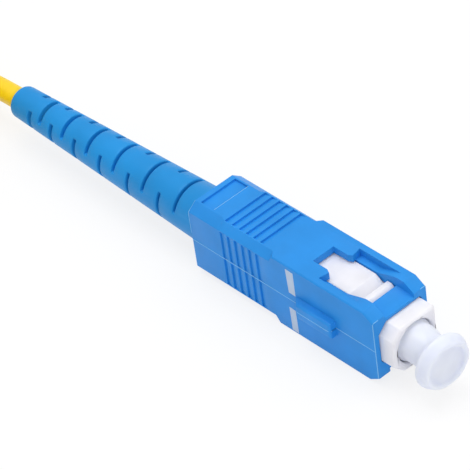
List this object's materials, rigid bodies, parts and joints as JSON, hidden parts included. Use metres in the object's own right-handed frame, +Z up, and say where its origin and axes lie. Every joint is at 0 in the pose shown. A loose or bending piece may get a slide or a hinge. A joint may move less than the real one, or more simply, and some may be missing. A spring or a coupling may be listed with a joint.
{
  "type": "sc fibre connector",
  "caption": "Push-pull fibre connector with a sliding grip housing, sprung ferrule, dust cap and slotted boot on a coiled pigtail.",
  "frame": {"origin": "on the flat lower face of the grip housing, below the connector axis, where the nose meets the ribbed grip", "axes": "+X along the connector axis towards the ferrule tip, +Z up, the key rib faces -Y"},
  "size_m": [0.1054, 0.039, 0.0107],
  "materials": {
    "blue_plastic": "satin moulded blue thermoplastic with a fine parting line",
    "boot_elastomer": "soft satin blue elastomer, slightly lighter than the housing",
    "white_plastic": "white moulded thermoplastic, slightly glossy",
    "frosted_cap": "frosted translucent soft plastic with a bluish tint",
    "zirconia": "polished white zirconia ceramic",
    "nickel_brass": "nickel plated brass",
    "spring_steel": "bright drawn spring steel",
    "crimp_metal": "plated soft metal, crimped",
    "black_plastic": "black glass-filled thermoplastic",
    "yellow_jacket": "satin yellow cable jacket",
    "buffer_white": "white tight buffer coating",
    "clear_tube": "clear plastic tube",
    "aramid": "bundle of straw-coloured aramid yarn",
    "silica": "drawn silica fibre",
    "epoxy": "cured amber epoxy",
    "tie_black": "thin black strap"
  },
  "bodies": {
    "core": {"plug_frame": "white_plastic", "rear_body": "black_plastic", "ferrule_spring": "spring_steel", "aramid_yarn": "aramid", "crimp_sleeve": "crimp_metal", "boot": "boot_elastomer", "jacket_end": "yellow_jacket", "cable_lead": "yellow_jacket", "cable_coil": "yellow_jacket", "coil_ties": "tie_black", "tail_jacket": "yellow_jacket", "tail_yarn": "aramid", "tail_buffer": "buffer_white"},
    "grip": {"grip_housing": "blue_plastic"},
    "ferrule_unit": {"ferrule": "zirconia", "ferrule_flange": "nickel_brass", "optical_fibre": "silica", "tight_buffer": "buffer_white", "epoxy_fill": "epoxy", "guide_tube": "clear_tube"},
    "cap": {"dust_cap": "frosted_cap"}
  },
  "joints": [
    {"name": "grip_slide", "type": "slide", "parent": "core", "child": "grip", "axis": [1, 0, 0], "range_m": [0, 0.0019]},
    {"name": "ferrule_float", "type": "slide", "parent": "core", "child": "ferrule_unit", "axis": [1, 0, 0], "range_m": [-0.001, 0], "stiffness_N_per_m": 1000, "deforming": ["ferrule_spring"]},
    {"name": "cap_pull", "type": "slide", "parent": "ferrule_unit", "child": "cap", "axis": [1, 0, 0], "range_m": [0, 0.012]}
  ]
}
